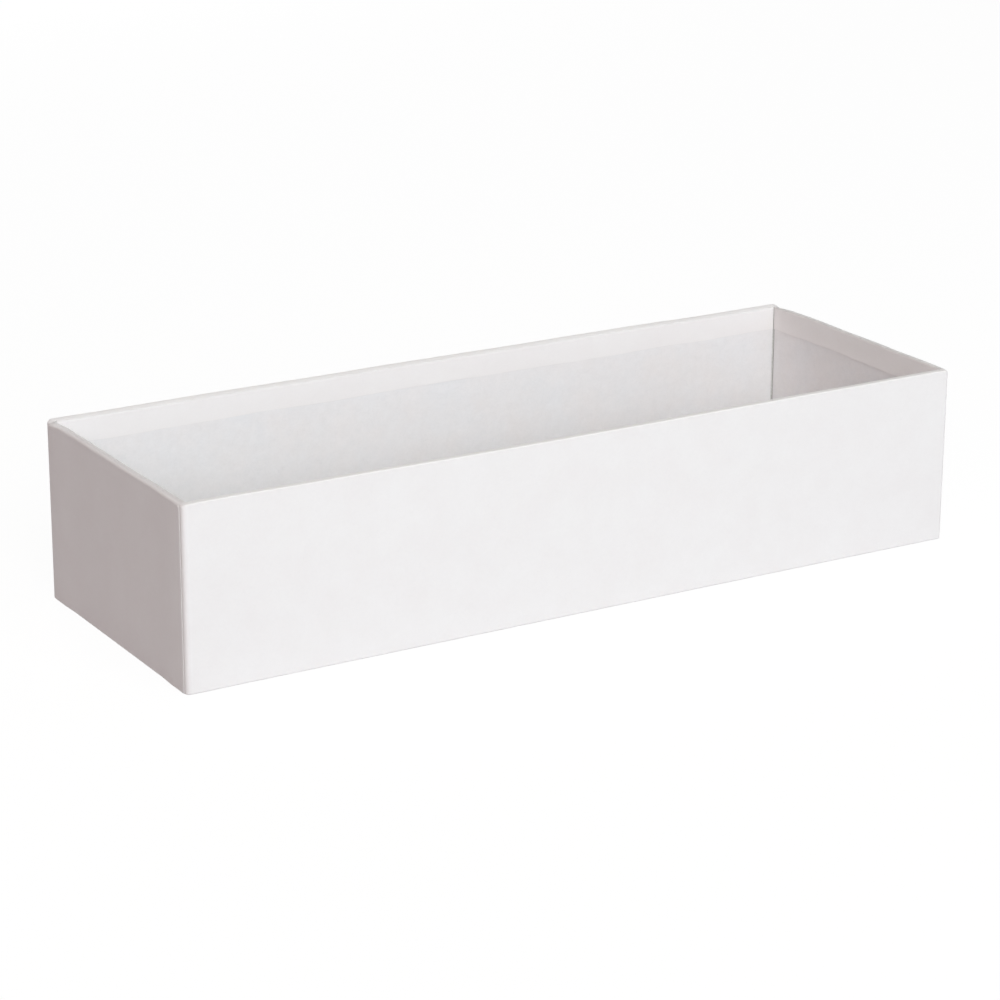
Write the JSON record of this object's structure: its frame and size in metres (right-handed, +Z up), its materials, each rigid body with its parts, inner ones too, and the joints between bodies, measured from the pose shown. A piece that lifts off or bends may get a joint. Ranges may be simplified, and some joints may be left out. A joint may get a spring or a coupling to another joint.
{
  "type": "drawer organizer tray",
  "caption": "Open rectangular cardboard tray wrapped in white paper, made to stand in a drawer and keep small things together.",
  "frame": {"origin": "middle of the underside, on the surface that the tray stands on", "axes": "+X along the tray's length towards its right end, +Y from the front wall to the rear wall, +Z up"},
  "size_m": [0.35, 0.124, 0.074],
  "materials": {
    "greyboard": "matte",
    "lining_paper": "matte",
    "stay_tape": "matte",
    "wrap_paper": "matte",
    "base_paper": "matte"
  },
  "bodies": {
    "root": {"floor_board": "greyboard", "front_board": "greyboard", "rear_board": "greyboard", "left_end_board": "greyboard", "right_end_board": "greyboard", "floor_lining": "lining_paper", "front_lining": "lining_paper", "rear_lining": "lining_paper", "left_end_lining": "lining_paper", "right_end_lining": "lining_paper", "corner_stay_front_left": "stay_tape", "corner_stay_front_right": "stay_tape", "corner_stay_rear_left": "stay_tape", "corner_stay_rear_right": "stay_tape", "front_wrap": "wrap_paper", "rear_wrap": "wrap_paper", "left_end_wrap": "wrap_paper", "right_end_wrap": "wrap_paper", "base_paper": "base_paper"}
  },
  "joints": []
}
